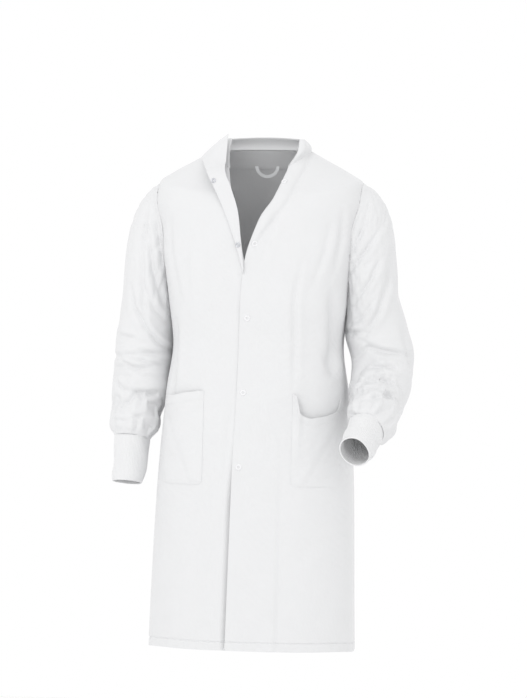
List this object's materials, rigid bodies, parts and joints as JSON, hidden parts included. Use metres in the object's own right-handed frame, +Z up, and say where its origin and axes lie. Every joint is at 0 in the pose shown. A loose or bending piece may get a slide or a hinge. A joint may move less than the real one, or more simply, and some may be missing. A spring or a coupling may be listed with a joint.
{
  "type": "lab coat",
  "caption": "Long white laboratory coat with stand collar, snap front, hip patch pockets and long sleeves ending in knitted rib cuffs.",
  "frame": {"origin": "base of the wearer's neck, on the coat's middle line, level with the top of the back panel", "axes": "+X towards the wearer's left, +Y towards the wearer's back, +Z up along the wearer"},
  "size_m": [0.5999, 0.3655, 0.99],
  "materials": {
    "coat_cloth": "matte",
    "rib_knit": "matte",
    "interlining": "matte",
    "tape": "matte",
    "snap_cap": "gloss",
    "snap_metal": "satin"
  },
  "bodies": {
    "coat_body": {"back_panel": "coat_cloth", "back_neck_facing": "coat_cloth", "collar_outer": "coat_cloth", "collar_interlining": "interlining", "collar_lining": "coat_cloth", "hang_loop": "tape"},
    "left_front": {"left_front_panel": "coat_cloth", "left_front_facing": "coat_cloth", "left_front_interlining": "interlining", "left_hip_pocket": "coat_cloth", "snap_caps": "snap_cap", "snap_sockets": "snap_metal"},
    "right_front": {"right_front_panel": "coat_cloth", "right_front_facing": "coat_cloth", "right_front_interlining": "interlining", "right_hip_pocket": "coat_cloth", "snap_studs": "snap_metal", "snap_posts": "snap_metal"},
    "left_upper_arm": {"left_sleeve_upper": "coat_cloth", "left_sleeve_elbow": "coat_cloth"},
    "left_forearm": {"left_sleeve_lower": "coat_cloth", "left_cuff": "rib_knit"},
    "right_upper_arm": {"right_sleeve_upper": "coat_cloth", "right_sleeve_elbow": "coat_cloth"},
    "right_forearm": {"right_sleeve_lower": "coat_cloth", "right_cuff": "rib_knit"}
  },
  "joints": [
    {"name": "left_front_open", "type": "hinge", "parent": "coat_body", "child": "left_front", "pos_m": [0.205, 0, -0.5], "axis": [0, 0, 1], "range_deg": [0, 12]},
    {"name": "right_front_open", "type": "hinge", "parent": "coat_body", "child": "right_front", "pos_m": [-0.205, 0, -0.5], "axis": [0, 0, -1], "range_deg": [0, 8.4]},
    {"name": "left_shoulder", "type": "hinge", "parent": "coat_body", "child": "left_upper_arm", "pos_m": [0.19, 0, -0.183], "axis": [-1, 0, 0], "range_deg": [-10, 70]},
    {"name": "right_shoulder", "type": "hinge", "parent": "coat_body", "child": "right_upper_arm", "pos_m": [-0.19, 0, -0.183], "axis": [-1, 0, 0], "range_deg": [-30, 70]},
    {"name": "left_elbow", "type": "hinge", "parent": "left_upper_arm", "child": "left_forearm", "pos_m": [0.257, 0.034, -0.4], "axis": [-0.9438, 0.2969, -0.145], "range_deg": [-45, 35], "deforming": ["left_sleeve_elbow"]},
    {"name": "right_elbow", "type": "hinge", "parent": "right_upper_arm", "child": "right_forearm", "pos_m": [-0.235, 0.006, -0.395], "axis": [-1, 0, 0], "range_deg": [-8, 60], "deforming": ["right_sleeve_elbow"]}
  ],
  "couplings": [
    {"joint": "right_front_open", "follows": "left_front_open", "ratio": 0.7}
  ]
}
